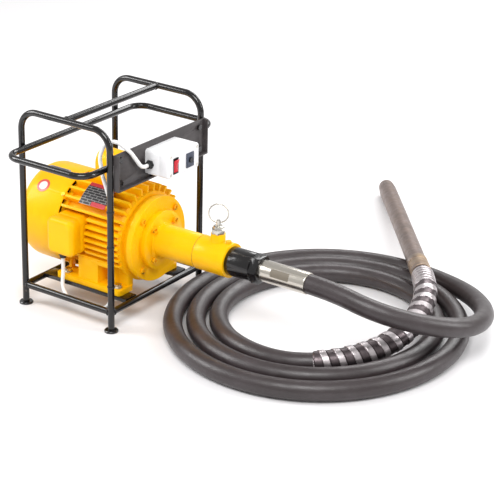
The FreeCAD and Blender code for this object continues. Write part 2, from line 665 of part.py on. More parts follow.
# ---------------------------------------------------------------- the hose's route
HOSE_Z = HOSE_D / 2 + 0.1
TURN_STEPS = 14
TURN_FIRST = 3         # steps past the long axis where the turns begin
TURN_LAST = 38


def turn_point(step):
    """A point of the loose turns on the floor: an oval that shrinks and drifts at every turn."""
    t = step / TURN_STEPS
    a = 2 * math.pi * t
    along = (313 - 45 * t) * math.cos(a)
    across = (334.5 - 47.4 * t) * math.sin(a)
    skew = math.radians(11.5)
    x = 422 - 4.8 * t + along * math.cos(skew) - across * math.sin(skew)
    y = 106.8 + 5.4 * t + along * math.sin(skew) + across * math.cos(skew)
    return Vector(x, y, HOSE_Z)


poker_way = (POKER_END - POKER_START).normalize()
hose_points = [Vector(HOSE_START, AXIS_Y, AXIS_Z)]
hose_points += [Vector(*p) for p in (
    (500, AXIS_Y, AXIS_Z), (585, 12, 123), (662, 62, 98), (710, 138, 78), (704, 222, 63),
    (655, 306, 47), (566, 388, 28),
)]
hose_points += [turn_point(i) for i in range(TURN_FIRST, TURN_LAST + 1)]
hose_points += [Vector(*p) for p in (
    (482, -72, 21.5), (545, -22, 26), (588, 48, 37), (603, 118, 54), (591, 190, 72),
)]
hose_points += [POKER_START - poker_way * HOSE_STRAIGHT, POKER_START + poker_way * HOSE_IN_ADAPTER]


def describe_route():
    radii = [bend_radius(*p) for p in zip(hose_points, hose_points[1:], hose_points[2:])]
    runs = [(b - a).Length for a, b in zip(hose_points, hose_points[1:])]
    print("hose runs", [round(r) for r in runs])
    print("hose radii", [round(r) for r in radii], "least", round(min(radii)))


describe_route()
hose_path = rounded_path(hose_points)
hose = tube_along(hose_path, hose_points[0], X, HOSE_D / 2, HOSE_BORE_D / 2)
section = math.pi * (HOSE_D ** 2 - HOSE_BORE_D ** 2) / 4
print("hose", round(hose_path.Length), "mm; volume over section x length",
      round(hose.Volume / (section * hose_path.Length), 4))
keep("hose", hose)
core_start = Vector(SPINDLE_FRONT + END_GAP, AXIS_Y, AXIS_Z)
core_end = POKER_START + poker_way * (ECC_BACK - 22 - END_GAP)
core_path = Part.Wire([Part.LineSegment(core_start, hose_points[0]).toShape()] + hose_path.Edges
                      + [Part.LineSegment(hose_points[-1], core_end).toShape()])
keep("flexible_core", bar_along(core_path, core_start, X, CORE_D / 2))


def place_on_hose(back):
    """The point and the direction on the hose's line, back from its far end."""
    target = hose_path.Length - back
    for edge in hose_path.Edges:
        if target <= edge.Length:
            break
        target -= edge.Length
    along = edge.getParameterByLength(target)
    return edge.valueAt(along), edge.tangentAt(along)


def guard_rings():
    """The turns of the flat spring on the hose's last stretch: close near the poker, then open."""
    made = []
    back = HOSE_IN_ADAPTER
    for i in range(GUARD_RINGS):
        close = i < GUARD_CLOSE_RINGS
        width = 8.0 if close else GUARD_RING_W
        back += 11.5 if close else 26.0
        at, way = place_on_hose(back)
        ring = cyl(at - way * (width / 2), way, width, GUARD_RING_R)
        made.append(ring.cut(cyl(at - way * width, way, 2 * width, HOSE_D / 2 + 0.25)))
    return made


keep("bend_guard", *guard_rings())

# ---------------------------------------------------------------- poker


def on_poker(shape):
    """Turn a shape made along +Z from the origin to lie along the poker."""
    shape = shape.copy()
    placing = FreeCAD.Rotation(Z, poker_way)
    shape.Placement = FreeCAD.Placement(POKER_START, placing).multiply(shape.Placement)
    return shape


def cyl_z(z0, z1, radius):
    return cyl(Vector(0, 0, z0), Z, z1 - z0, radius)


def ring_z(z0, z1, outer, inner):
    return cyl_z(z0, z1, outer).cut(cyl_z(z0 - 1, z1 + 1, inner))


adapter = cyl_z(10, ADAPTER_LENGTH, ADAPTER_R)
adapter = adapter.makeFillet(2.0, [e for e in adapter.Edges if e.Closed])
adapter = joined([adapter, cyl_z(ADAPTER_LENGTH - 4, ADAPTER_LENGTH + 20, POKER_BORE_R)])
adapter = adapter.cut(cyl_z(0, HOSE_IN_ADAPTER + END_GAP, HOSE_D / 2 + HOSE_FIT))
adapter = adapter.cut(cyl_z(HOSE_IN_ADAPTER - 1, ADAPTER_LENGTH + 21, 8.0))
adapter = adapter.cut(box(-6, 6, ADAPTER_R - 2.5, ADAPTER_R + 2, 42, 54))
keep("poker_adapter", on_poker(adapter))
poker_tube = ring_z(ADAPTER_LENGTH, POKER_LENGTH - TIP_LENGTH, POKER_R, POKER_BORE_R)
keep("poker_tube", on_poker(poker_tube))
tip_z0 = POKER_LENGTH - TIP_LENGTH
tip = Part.makeCone(POKER_R, POKER_R - 2.5, TIP_LENGTH, Vector(0, 0, tip_z0), Z)
tip = tip.makeFillet(12.0, [e for e in tip.Edges if e.Closed and e.CenterOfMass.z > tip_z0 + 10])
tip = joined([tip, cyl_z(tip_z0 - 14, tip_z0 + 1, POKER_BORE_R)])
keep("poker_tip", on_poker(tip))
bearing_places = ((ECC_BACK - 12, ECC_BACK), (ECC_FRONT, ECC_FRONT + 12))
keep("poker_bearings", *[on_poker(ring_z(a, b, POKER_BORE_R, 6.0)) for a, b in bearing_places])
weight = cyl_z(ECC_BACK + 4, ECC_FRONT - 4, 12.0).cut(box(-20, 20, 2, 20, 0, POKER_LENGTH))
ecc = joined([weight, cyl_z(ECC_BACK - 22, ECC_FRONT + 14, 6 - RUNNING_GAP)])
keep("eccentric_weight", on_poker(ecc))

# ---------------------------------------------------------------- switch plate and box
PLATE_X = LEG_X + BAR_D / 2
PLATE_FRONT = PLATE_X + PLATE_T
PLATE_BOLTS = [(-121, 341), (-121, 296), (119, 339), (119, 296)]
plate = box(PLATE_X, PLATE_FRONT, -PLATE_Y, PLATE_Y, PLATE_LOW, PLATE_HIGH)
for y0 in (-PLATE_Y, PLATE_Y - 2.5):
    plate = plate.fuse(box(PLATE_X, PLATE_FRONT + PLATE_LIP, y0, y0 + 2.5, PLATE_LOW, PLATE_HIGH))
plate = plate.fuse(box(PLATE_X, PLATE_FRONT + PLATE_LIP, -PLATE_Y, PLATE_Y, PLATE_LOW,
                       PLATE_LOW + PLATE_T))
for y, z in PLATE_BOLTS:
    plate = plate.cut(cyl_x(PLATE_X - 1, PLATE_FRONT + 1, 3.2, y, z))
keep("switch_plate", plate.removeSplitter())
lugs = []
for y, z in PLATE_BOLTS:
    side = 1 if y > 0 else -1
    lo, hi = sorted((y - side * 8, side * LEG_Y))
    lug = box(PLATE_X - 4, PLATE_X, lo, hi, z - 8, z + 8).cut(both_hoops)
    lugs.append(lug.cut(cyl_x(PLATE_X - 9, PLATE_X + 1, 3.2, y, z)))
keep("plate_lugs", *[max(lug.Solids, key=lambda s: s.Volume) for lug in lugs])


def plate_bolt(y, z):
    head = hexagon(Vector(PLATE_FRONT, y, z), X, 4.0, 10.0)
    nut = hexagon(Vector(PLATE_X - 9, y, z), X, 5.0, 10.0)
    return joined([head, nut, cyl_x(PLATE_X - 11, PLATE_FRONT + 1, 3.0, y, z)])


keep("plate_bolts", *[plate_bolt(y, z) for y, z in PLATE_BOLTS])

BOX_BACK = PLATE_FRONT
BOX_FRONT = BOX_BACK + BOX_DEPTH
LID_BACK = BOX_FRONT - LID_T
BOX_ROUND = 6.0
WALL = 2.5
ROCKER_Y = -26.0
PIVOT_R = 2.0
ROCKER_Z = 315.0
BREAKER_Y = 17.0
BREAKER_Z = 315.0
SWITCH_GLAND_X = 128.0
SWITCH_GLAND_Z = 314.0


def switch_base():
    outer = rounded_box(BOX_BACK, LID_BACK, BOX_Y0, BOX_Y1, BOX_Z0, BOX_Z1, BOX_ROUND, X)
    hollow = box(BOX_BACK + WALL, LID_BACK + 1, BOX_Y0 + WALL, BOX_Y1 - WALL, BOX_Z0 + WALL,
                 BOX_Z1 - WALL)
    posts = []
    for y in (BOX_Y0 + 7, BOX_Y1 - 7):
        for z in (BOX_Z0 + 7, BOX_Z1 - 7):
            posts.append(cyl_x(BOX_BACK + 1, LID_BACK, 5.0, y, z))
    body = joined([outer.cut(hollow)] + posts)
    for y in (BOX_Y0 + 7, BOX_Y1 - 7):
        for z in (BOX_Z0 + 7, BOX_Z1 - 7):
            body = body.cut(cyl_x(LID_BACK - 12, LID_BACK + 1, 1.6, y, z))
    gland_hole = cyl(Vector(SWITCH_GLAND_X, BOX_Y0 - 1, SWITCH_GLAND_Z), Y, 8, 6.0)
    return body.cut(gland_hole)


def switch_lid():
    outer = rounded_box(LID_BACK, BOX_FRONT, BOX_Y0, BOX_Y1, BOX_Z0, BOX_Z1, BOX_ROUND, X)
    outer = outer.makeFillet(4.0, [e for e in outer.Edges if abs(e.BoundBox.XMin - BOX_FRONT) < 0.01])
    hollow = box(LID_BACK - 1, BOX_FRONT - WALL, BOX_Y0 + 3.5, BOX_Y1 - 3.5,
                 BOX_Z0 + 3.5, BOX_Z1 - 3.5)
    posts = []
    for y in (BOX_Y0 + 7, BOX_Y1 - 7):
        for z in (BOX_Z0 + 7, BOX_Z1 - 7):
            posts.append(cyl_x(LID_BACK, BOX_FRONT - 1, 5.0, y, z))
    body = joined([outer.cut(hollow)] + posts)
    for y in (BOX_Y0 + 7, BOX_Y1 - 7):
        for z in (BOX_Z0 + 7, BOX_Z1 - 7):
            body = body.cut(cyl_x(LID_BACK - 1, BOX_FRONT + 1, 1.6, y, z))
            body = body.cut(cyl_x(BOX_FRONT - 2.2, BOX_FRONT + 1, 3.2, y, z))
    body = body.cut(box(BOX_FRONT - 5, BOX_FRONT + 1, ROCKER_Y - 7.5, ROCKER_Y + 7.5,
                        ROCKER_Z - 15.5, ROCKER_Z + 15.5))
    return body.cut(box(BOX_FRONT - 5, BOX_FRONT + 1, BREAKER_Y - 11, BREAKER_Y + 11,
                        BREAKER_Z - 14, BREAKER_Z + 14))


def frame_of(y, z, half_y, half_z, inner_y, inner_z, x0, x1):
    return box(x0, x1, y - half_y, y + half_y, z - half_z, z + half_z).cut(
        box(x0 - 1, x1 + 1, y - inner_y, y + inner_y, z - inner_z, z + inner_z))


keep("switch_base", switch_base())
keep("switch_lid", switch_lid())
lid_screws = []
for y in (BOX_Y0 + 7, BOX_Y1 - 7):
    for z in (BOX_Z0 + 7, BOX_Z1 - 7):
        lid_screws.append(joined([cyl_x(LID_BACK - 12, BOX_FRONT - 1, 1.6, y, z),
                                  cyl_x(BOX_FRONT - 2.2, BOX_FRONT - 0.4, 3.0, y, z)]))
keep("lid_screws", *lid_screws)
switch_body = frame_of(ROCKER_Y, ROCKER_Z, 7.5, 15.5, 6.2, 14.0, BOX_FRONT - 5, BOX_FRONT + 1.2)
back_part = box(BOX_FRONT - 24, BOX_FRONT - 9, ROCKER_Y - 7, ROCKER_Y + 7,
                ROCKER_Z - 14, ROCKER_Z + 14)
cheeks = [box(BOX_FRONT - 9, BOX_FRONT - 3, y - 0.6, y + 0.6, ROCKER_Z - 14.4, ROCKER_Z + 14.4)
          for y in (ROCKER_Y - 6.8, ROCKER_Y + 6.8)]
pivot = Vector(BOX_FRONT - 3, ROCKER_Y - 7, ROCKER_Z)
keep("switch_body", joined([switch_body, back_part] + cheeks).cut(cyl(pivot, Y, 14, PIVOT_R + RUNNING_GAP)))
rocker_profile = [(-6.5, -3), (0.6, -12.6), (1.8, -12.2), (0.9, 0), (4.8, 11.6), (3.4, 12.2),
                  (-6.5, 3)]
corners = [Vector(BOX_FRONT + x, ROCKER_Y - 5.9, ROCKER_Z + z) for x, z in rocker_profile]
rocker = Part.Face(Part.makePolygon(corners + corners[:1])).extrude(Y * 11.8)
keep("rocker", joined([rocker, cyl(pivot + Y * 0.1, Y, 13.8, PIVOT_R)]))
breaker = joined([box(BOX_FRONT - 20, BOX_FRONT - 5, BREAKER_Y - 10, BREAKER_Y + 10,
                      BREAKER_Z - 13, BREAKER_Z + 13),
                  box(BOX_FRONT - 5, BOX_FRONT + 2.2, BREAKER_Y - 11, BREAKER_Y + 11,
                      BREAKER_Z - 14, BREAKER_Z + 14)])
BUTTON_R = 5.0
breaker = breaker.cut(cyl_x(BOX_FRONT - 12, BOX_FRONT + 5, BUTTON_R + RUNNING_GAP, BREAKER_Y, BREAKER_Z))
keep("breaker", breaker)
keep("reset_button", cyl_x(BOX_FRONT - 7, BOX_FRONT + 5.5, BUTTON_R, BREAKER_Y, BREAKER_Z))
gland_y = Vector(SWITCH_GLAND_X, BOX_Y0, SWITCH_GLAND_Z)
keep("cable_glands", terminal_gland, cable_gland(gland_y, Y * -1, GLAND_REACH))

# ---------------------------------------------------------------- the lead from motor to switch
LEAD_Y = -LEG_Y + BAR_D / 2 + LEAD_D / 2 + 0.5
LEG_SIDE_X = LEG_X - BAR_D / 2 - LEAD_D / 2 - 0.5
lead_points = [Vector(*p) for p in (
    (GLAND_X, GLAND_Y, t_z0 - 2), (GLAND_X, GLAND_Y, 72), (GLAND_X + 4, GLAND_Y - 9, 46),
    (GLAND_X + 28, LEAD_Y, 33), (LEG_SIDE_X, LEAD_Y, 33), (LEG_SIDE_X, LEAD_Y, 262),
    (80, LEAD_Y, 304), (73, LEAD_Y, 338), (84, LEAD_Y + 2, 367), (106, LEAD_Y + 8, 375),
    (123, -98, 350), (SWITCH_GLAND_X, -72, SWITCH_GLAND_Z), (SWITCH_GLAND_X, BOX_Y0 - 2, SWITCH_GLAND_Z),
)]
lead_path = rounded_path(lead_points, most=LEAD_BEND)
keep("motor_lead", bar_along(lead_path, lead_points[0], Z * -1, LEAD_D / 2 - RUNNING_GAP))
TIE_W = 3.0
TIE_T = 0.9
ties = []
for z in (90, 170, 240):
    leg_place = Vector(LEG_X, -LEG_Y, z)
    lead_place = Vector(LEG_SIDE_X, LEAD_Y, z)
    loops = [cyl(leg_place, Z, TIE_W, BAR_D / 2 + TIE_T), cyl(lead_place, Z, TIE_W, LEAD_D / 2 + TIE_T)]
    strap = joined(loops)
    strap = strap.cut(cyl(leg_place - Z, Z, 6, BAR_D / 2)).cut(cyl(lead_place - Z, Z, 6, LEAD_D / 2))
    ties.append(strap)
keep("lead_ties", *ties)


# ---------------------------------------------------------------- write
os.makedirs("parts", exist_ok=True)
whole = FreeCAD.BoundBox()
own = FreeCAD.BoundBox()
for name, shape in nodes.items():
    for solid in shape.Solids:
        if not solid.isValid() or solid.Volume <= 0:
            print("not valid:", name)
    if len(shape.Solids) == 0:
        print("no solid:", name)
    shape.exportStep("parts/" + name + ".step")
    whole.add(shape.optimalBoundingBox(False))
    if name not in ("hose", "flexible_core", "bend_guard"):
        own.add(shape.optimalBoundingBox(False))
print(len(nodes), "nodes")
print("whole", whole)
print("without the cord", own, "centre", own.Center)
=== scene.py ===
"""Looks of the electric concrete vibrator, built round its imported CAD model.

Metres, in the CAD model's frame. Places on the machine are given from the middle of the cage's
four feet, as in the CAD source, and spot() moves them to that frame.
"""
import json
import math

import bmesh
import bpy
from mathutils import Matrix, Vector


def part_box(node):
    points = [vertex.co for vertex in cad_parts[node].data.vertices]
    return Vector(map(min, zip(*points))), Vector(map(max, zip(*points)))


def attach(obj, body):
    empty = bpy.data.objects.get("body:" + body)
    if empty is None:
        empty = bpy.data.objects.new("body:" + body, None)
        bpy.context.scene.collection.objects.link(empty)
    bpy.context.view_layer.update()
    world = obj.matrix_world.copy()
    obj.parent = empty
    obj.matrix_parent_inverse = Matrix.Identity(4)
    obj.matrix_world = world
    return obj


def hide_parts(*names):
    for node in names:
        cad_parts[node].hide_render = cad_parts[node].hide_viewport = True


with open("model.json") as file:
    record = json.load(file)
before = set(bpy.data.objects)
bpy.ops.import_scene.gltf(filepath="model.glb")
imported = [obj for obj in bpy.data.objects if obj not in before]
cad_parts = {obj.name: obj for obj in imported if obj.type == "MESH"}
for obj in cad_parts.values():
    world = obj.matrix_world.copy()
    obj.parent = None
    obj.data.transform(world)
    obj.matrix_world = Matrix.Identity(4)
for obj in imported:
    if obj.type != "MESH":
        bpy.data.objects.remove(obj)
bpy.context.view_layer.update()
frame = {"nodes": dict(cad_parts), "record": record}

FEET_LOW, FEET_HIGH = (Vector(corner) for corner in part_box("feet"))
CAGE = (FEET_LOW + FEET_HIGH) / 2
CAGE.z = 0.0
AXIS_Y = 0.005          # the motor's axis, along X
AXIS_Z = 0.14295
ALONG_X = Vector((1, 0, 0))
HOSE_D = 0.037
TOP_FIN_R = 0.102       # over the tips of the fins on top of the motor
COWL_R = 0.096
POKER_START = Vector((0.527, 0.294, 0.080))
POKER_END = Vector((0.144, 0.803, 0.0196))
POKER_WAY = (POKER_END - POKER_START).normalized()
BODY_OF = {node: body for body, nodes in frame["record"]["behaviour"]["bodies"].items()
           for node in nodes}
SLOT_OF = {part["node"]: part["material_slot"] for part in frame["record"]["subparts"]}


def spot(x, y, z):
    """A place given from the middle of the cage's feet, in the model's frame."""
    return CAGE + Vector((x, y, z))


# ---------------------------------------------------------------- camera, light and floor
def make_camera():
    """A long lens, a little above and in front of the drive end."""
    azimuth, elevation, roll = math.radians(34.43), math.radians(23.08), math.radians(1.47)
    back = Vector((math.sin(azimuth) * math.cos(elevation), -math.cos(azimuth) * math.cos(elevation),
                   math.sin(elevation)))
    right = Vector((math.cos(azimuth), math.sin(azimuth), 0))
    up = back.cross(right)
    right, up = (right * math.cos(roll) + up * math.sin(roll), up * math.cos(roll) - right * math.sin(roll))
    data = bpy.data.cameras.new("camera")
    data.lens = 126.34
    data.sensor_width = 36
    data.clip_start, data.clip_end = 0.1, 40
    camera = bpy.data.objects.new("camera", data)
    bpy.context.collection.objects.link(camera)
    turn = Matrix((right, up, back)).transposed().to_4x4()
    camera.matrix_world = Matrix.Translation(spot(0.4463, -0.1786, 0.2699) + back * 2.9958) @ turn
    bpy.context.scene.camera = camera


def area_light(name, place, aim, size, power, colour=(1, 1, 1)):
    data = bpy.data.lights.new(name, "AREA")
    data.shape = "RECTANGLE"
    data.size, data.size_y = size
    data.energy = power
    data.color = colour
    light = bpy.data.objects.new(name, data)
    bpy.context.collection.objects.link(light)
    light.location = place
    light.rotation_mode = "QUATERNION"
    light.rotation_quaternion = (Vector(aim) - Vector(place)).to_track_quat("-Z", "Y")


def make_stage():
    """A plain pale floor, a pale sky and four soft lights."""
    mesh = bpy.data.meshes.new("floor")
    half = 12.0
    corners = [(-half, -half, 0), (half, -half, 0), (half, half, 0), (-half, half, 0)]
    mesh.from_pydata(corners, [], [(0, 1, 2, 3)])
    floor = bpy.data.objects.new("floor", mesh)
    bpy.context.collection.objects.link(floor)
    mesh.materials.append(Mat("floor_paper", (0.82, 0.81, 0.82), 0.55).done())
    world = bpy.data.worlds.new("world")
    bpy.context.scene.world = world
    world.use_nodes = True
    sky = world.node_tree.nodes["Background"]
    sky.inputs["Color"].default_value = (1.0, 0.995, 0.99, 1)
    sky.inputs["Strength"].default_value = 0.66
    middle = spot(0.35, 0.1, 0.1)
    area_light("key", spot(1.2, -1.6, 2.6), middle, (1.6, 1.2), 60)
    area_light("side", spot(-1.8, -1.2, 1.5), middle, (1.0, 1.2), 38)
    area_light("rim", spot(0.2, 2.4, 1.9), middle, (2.4, 0.9), 44)
    area_light("right", spot(2.3, 0.9, 1.3), spot(0.7, 0.1, 0.05), (0.5, 1.2), 24)


# ---------------------------------------------------------------- materials
class Mat:
    """One material: a Principled shader whose colour, roughness and bump are built up in layers."""

    def __init__(self, name, colour, rough, metal=0.0, coat=0.0):
        self.material = bpy.data.materials.new(name)
        self.material.use_nodes = True
        self.tree = self.material.node_tree
        self.tree.nodes.clear()
        self.shader = self.tree.nodes.new("ShaderNodeBsdfPrincipled")
        out = self.tree.nodes.new("ShaderNodeOutputMaterial")
        self.tree.links.new(self.shader.outputs[0], out.inputs["Surface"])
        self.put(self.shader, "Metallic", metal)
        self.put(self.shader, "Coat Weight", coat)
        self.put(self.shader, "Coat Roughness", 0.08)
        self.coords = self.tree.nodes.new("ShaderNodeTexCoord").outputs["Object"]
        self.colour = (*colour, 1.0)
        self.rough = rough
        self.normal = None

    def put(self, node, socket, value):
        """Set a socket to a number or a colour, or link another socket to it."""
        if isinstance(value, bpy.types.NodeSocket):
            self.tree.links.new(value, node.inputs[socket])
        else:
            node.inputs[socket].default_value = value

    def math(self, kind, a, b=0.0, clamp=False):
        node = self.tree.nodes.new("ShaderNodeMath")
        node.operation = kind
        node.use_clamp = clamp
        self.put(node, 0, a)
        self.put(node, 1, b)
        return node.outputs[0]

    def place(self, scale):
        """Object coordinates, scaled along each axis."""
        node = self.tree.nodes.new("ShaderNodeMapping")
        node.inputs["Scale"].default_value = scale
        self.tree.links.new(self.coords, node.inputs["Vector"])
        return node.outputs[0]

    def noise(self, scale, detail=3.0, rough=0.5, where=None, low=0.0, high=1.0):
        """Noise, with low..high of it stretched to 0..1."""
        node = self.tree.nodes.new("ShaderNodeTexNoise")
        self.put(node, "Vector", where or self.coords)
        self.put(node, "Scale", scale)
        self.put(node, "Detail", detail)
        self.put(node, "Roughness", rough)
        return self.stretch(node.outputs["Fac"], low, high)

    def stretch(self, value, low, high):
        node = self.tree.nodes.new("ShaderNodeMapRange")
        self.put(node, "Value", value)
        self.put(node, "From Min", low)
        self.put(node, "From Max", high)
        return node.outputs["Result"]

    def tint(self, colour, mask, most=1.0):
        """Lay a colour over what is there, where the mask says."""
        node = self.tree.nodes.new("ShaderNodeMix")
        node.data_type = "RGBA"
        self.put(node, 0, self.math("MULTIPLY", mask, most))
        self.put(node, 6, self.colour)
        self.put(node, 7, (*colour, 1.0) if not isinstance(colour, bpy.types.NodeSocket) else colour)
        self.colour = node.outputs[2]
        return self

    def rougher(self, mask, amount):
        self.rough = self.math("ADD", self.rough, self.math("MULTIPLY", mask, amount), clamp=True)
        return self

    def bump(self, height, depth):
        """Relief of a height 0..1 that stands depth metres proud."""
        node = self.tree.nodes.new("ShaderNodeBump")
        self.put(node, "Height", height)
        node.inputs["Distance"].default_value = depth
        if self.normal is not None:
            self.put(node, "Normal", self.normal)
        self.normal = node.outputs["Normal"]
        return self

    def done(self):
        self.put(self.shader, "Base Color", self.colour)
        self.put(self.shader, "Roughness", self.rough)
        if self.normal is not None:
            self.put(self.shader, "Normal", self.normal)
        return self.material


def low_down(m, z0, z1):
    """1 up to height z0, fading to 0 at height z1."""
    split = m.tree.nodes.new("ShaderNodeSeparateXYZ")
    m.put(split, 0, m.coords)
    return m.stretch(split.outputs["Z"], z1, z0)


def black_enamel(name="black_enamel", rough=0.13):
    m = Mat(name, (0.0028, 0.0022, 0.0026), rough, coat=0.35)
    m.put(m.shader, "Specular IOR Level", 0.38)
    m.tint((0.010, 0.008, 0.008), m.noise(9, 4, 0.6, low=0.4, high=0.75), 0.6)
    dust = m.noise(260, 3, 0.6, low=0.60, high=0.74)
    m.tint((0.12, 0.105, 0.09), m.math("MULTIPLY", dust, low_down(m, 0.0, 0.09)), 0.55)
    m.rougher(m.noise(40, 4, 0.6, low=0.35, high=0.8), 0.08)
    chips = m.noise(120, 2, 0.5, low=0.735, high=0.75)
    m.tint((0.10, 0.085, 0.075), chips, 0.6)
    m.bump(m.noise(330, 2, 0.5), 0.00022)
    return m.done()


def plate_black():
    m = Mat("plate_black", (0.032, 0.027, 0.028), 0.36, coat=0.15)
    m.tint((0.06, 0.052, 0.052), m.noise(22, 4, 0.65, low=0.35, high=0.75), 0.6)
    m.rougher(m.noise(70, 4, 0.6, low=0.3, high=0.8), 0.18)
    m.bump(m.noise(900, 3, 0.6), 0.0001)
    return m.done()


YELLOW = (0.95, 0.50, 0.001)


def yellow_enamel(name, cast):
    """Gloss enamel: smooth on pressings and tube; on castings pebbled, with more patches of dark grime at
    random.
    """
    m = Mat(name, YELLOW, 0.30 if not cast else 0.36, coat=0.08 if not cast else 0.04)
    m.put(m.shader, "Specular Tint", (1.0, 0.78, 0.30, 1.0))
    m.put(m.shader, "Specular IOR Level", 0.34)
    m.tint((0.95, 0.40, 0.0008), m.noise(11, 4, 0.6, low=0.38, high=0.72), 0.5)
    m.tint((0.97, 0.60, 0.002), m.noise(27, 3, 0.5, low=0.52, high=0.75), 0.45)
    grime = m.noise(150, 5, 0.7, low=0.62, high=0.80)
    m.tint((0.42, 0.17, 0.008), grime, 0.35 if cast else 0.12)
    m.rougher(m.noise(60, 4, 0.6, low=0.35, high=0.8), 0.18)
    if cast:
        m.bump(m.noise(190, 4, 0.6), 0.0009)
    m.bump(m.noise(420, 2, 0.5), 0.00018)
    return m.done()


def bright_steel(name, colour=(0.62, 0.61, 0.60), rough=0.2, stretch=(1, 1, 1), scratch=900):
    """Plated or ground steel with fine drawn lines along the directions that stretch leaves low."""
    m = Mat(name, colour, rough, metal=1.0)
    lines = m.noise(scratch, 3, 0.6, where=m.place(stretch), low=0.3, high=0.7)
    m.tint(tuple(c * 0.72 for c in colour), lines, 0.5)
    m.rougher(m.noise(45, 4, 0.65, low=0.35, high=0.75), 0.2)
    m.tint(tuple(c * 0.45 for c in colour), m.noise(30, 5, 0.7, low=0.6, high=0.85), 0.5)
    m.bump(lines, 0.00005)
    return m.done()


def brushed_steel():
    """Bright steel, brushed along X: smooth, with long soft bands and very little relief."""
    m = Mat("ferrule_steel", (0.60, 0.57, 0.52), 0.22, metal=1.0)
    m.tint((0.50, 0.46, 0.39), m.noise(60, 3, 0.5, where=m.place((0.04, 1, 1)), low=0.35, high=0.7), 0.55)
    m.rougher(m.noise(90, 3, 0.5, where=m.place((0.05, 1, 1)), low=0.3, high=0.8), 0.12)
    m.bump(m.noise(900, 2, 0.5, where=m.place((0.02, 1, 1))), 0.000012)
    return m.done()


def moulded(name, colour, rough=0.42, coat=0.0, grain=0.00006):
    """Moulded plastic: fine grain, faint clouding and a few scuffs."""
    m = Mat(name, colour, rough, coat=coat)
    m.tint(tuple(c * 0.82 for c in colour), m.noise(25, 4, 0.6, low=0.4, high=0.8), 0.4)
    m.rougher(m.noise(80, 4, 0.6, low=0.35, high=0.8), 0.16)
    scuffs = m.noise(90, 5, 0.7, where=m.place((1, 5, 1)), low=0.66, high=0.8)
    m.tint(tuple(min(1.0, c * 1.5 + 0.02) for c in colour), scuffs, 0.3)
    m.bump(m.noise(1400, 2, 0.5), grain)
    return m.done()


def copper():
    m = Mat("winding_copper", (0.55, 0.20, 0.07), 0.35, metal=0.8)
    m.bump(m.noise(500, 2, 0.5, where=m.place((6, 1, 1))), 0.0005)
    m.tint((0.25, 0.07, 0.02), m.noise(120, 3, 0.5), 0.5)
    return m.done()


def hose_rubber():
    m = Mat("hose_rubber", (0.026, 0.018, 0.019), 0.33)
    m.put(m.shader, "Specular IOR Level", 0.62)
    m.tint((0.058, 0.045, 0.049), m.noise(14, 5, 0.65, low=0.42, high=0.78), 0.7)
    m.tint((0.014, 0.009, 0.009), m.noise(45, 4, 0.6, low=0.55, high=0.8), 0.5)
    dust = m.noise(420, 4, 0.7, low=0.58, high=0.8)
    m.tint((0.20, 0.175, 0.17), dust, 0.2)
    m.rougher(m.noise(70, 4, 0.6, low=0.3, high=0.8), 0.14)
    m.bump(m.noise(700, 3, 0.6), 0.00022)
    m.bump(m.noise(60, 3, 0.5), 0.0006)
    return m.done()


def guard_steel(name, colour):
    """Spring steel with random lighter and darker patches. The spiral guard uses a lighter copy as painted
    highlight on its raised wire and a darker copy as painted shade between its turns.
    """
    m = Mat(name, colour, 0.27, metal=0.9)
    m.tint(tuple(min(1.0, c * 1.5) for c in colour), m.noise(150, 4, 0.65, low=0.5, high=0.72), 0.6)
    m.tint(tuple(c * 0.35 for c in colour), m.noise(60, 5, 0.7, low=0.55, high=0.8), 0.5)
    m.rougher(m.noise(110, 4, 0.6, low=0.3, high=0.8), 0.2)
    m.bump(m.noise(500, 3, 0.6), 0.00012)
    return m.done()


def poker_steel(name, warmth):
    """Oiled steel, darkened by use; warmth tints it towards straw where it was heated."""
    m = Mat(name, (0.20, 0.155, 0.145), 0.34, metal=0.75)
    m.tint((0.48, 0.33, 0.16), m.noise(20, 3, 0.5, low=0.2, high=0.7), warmth)
    m.tint((0.34, 0.29, 0.28), m.noise(55, 5, 0.7, low=0.5, high=0.8), 0.6)
    m.tint((0.07, 0.055, 0.05), m.noise(18, 5, 0.7, low=0.5, high=0.8), 0.55)
    m.rougher(m.noise(90, 4, 0.65, low=0.3, high=0.75), 0.25)
    m.bump(m.noise(420, 4, 0.65), 0.0002)
    return m.done()


def nameplate_print():
    """A black plate with blank boxes and two red bands: it holds no lettering."""
    m = Mat("nameplate_print", (0.016, 0.015, 0.017), 0.3, metal=0.2)
    grid = m.tree.nodes.new("ShaderNodeTexBrick")
    m.put(grid, "Vector", m.tree.nodes.new("ShaderNodeUVMap").outputs[0])
    for socket, value in (("Scale", 1.0), ("Mortar Size", 0.011), ("Brick Width", 0.27),
                          ("Row Height", 0.11)):
        m.put(grid, socket, value)
    for socket, shade in (("Color1", 0.0), ("Color2", 0.0), ("Mortar", 1.0)):
        m.put(grid, socket, (shade, shade, shade, 1))
    uv = m.tree.nodes.new("ShaderNodeSeparateXYZ")
    m.put(uv, 0, m.tree.nodes.new("ShaderNodeUVMap").outputs[0])
    across, up = uv.outputs["X"], uv.outputs["Y"]
    m.tint((0.55, 0.53, 0.52), grid.outputs["Color"], 0.5)
    band = m.math("LESS_THAN", up, 0.17)
    corner = m.math("MULTIPLY", m.math("GREATER_THAN", across, 0.45), m.math("GREATER_THAN", up, 0.82))
    m.tint((0.50, 0.02, 0.03), m.math("MAXIMUM", band, corner), 0.95)
    m.rougher(m.noise(160, 4, 0.6, low=0.3, high=0.8), 0.2)
    return m.done()


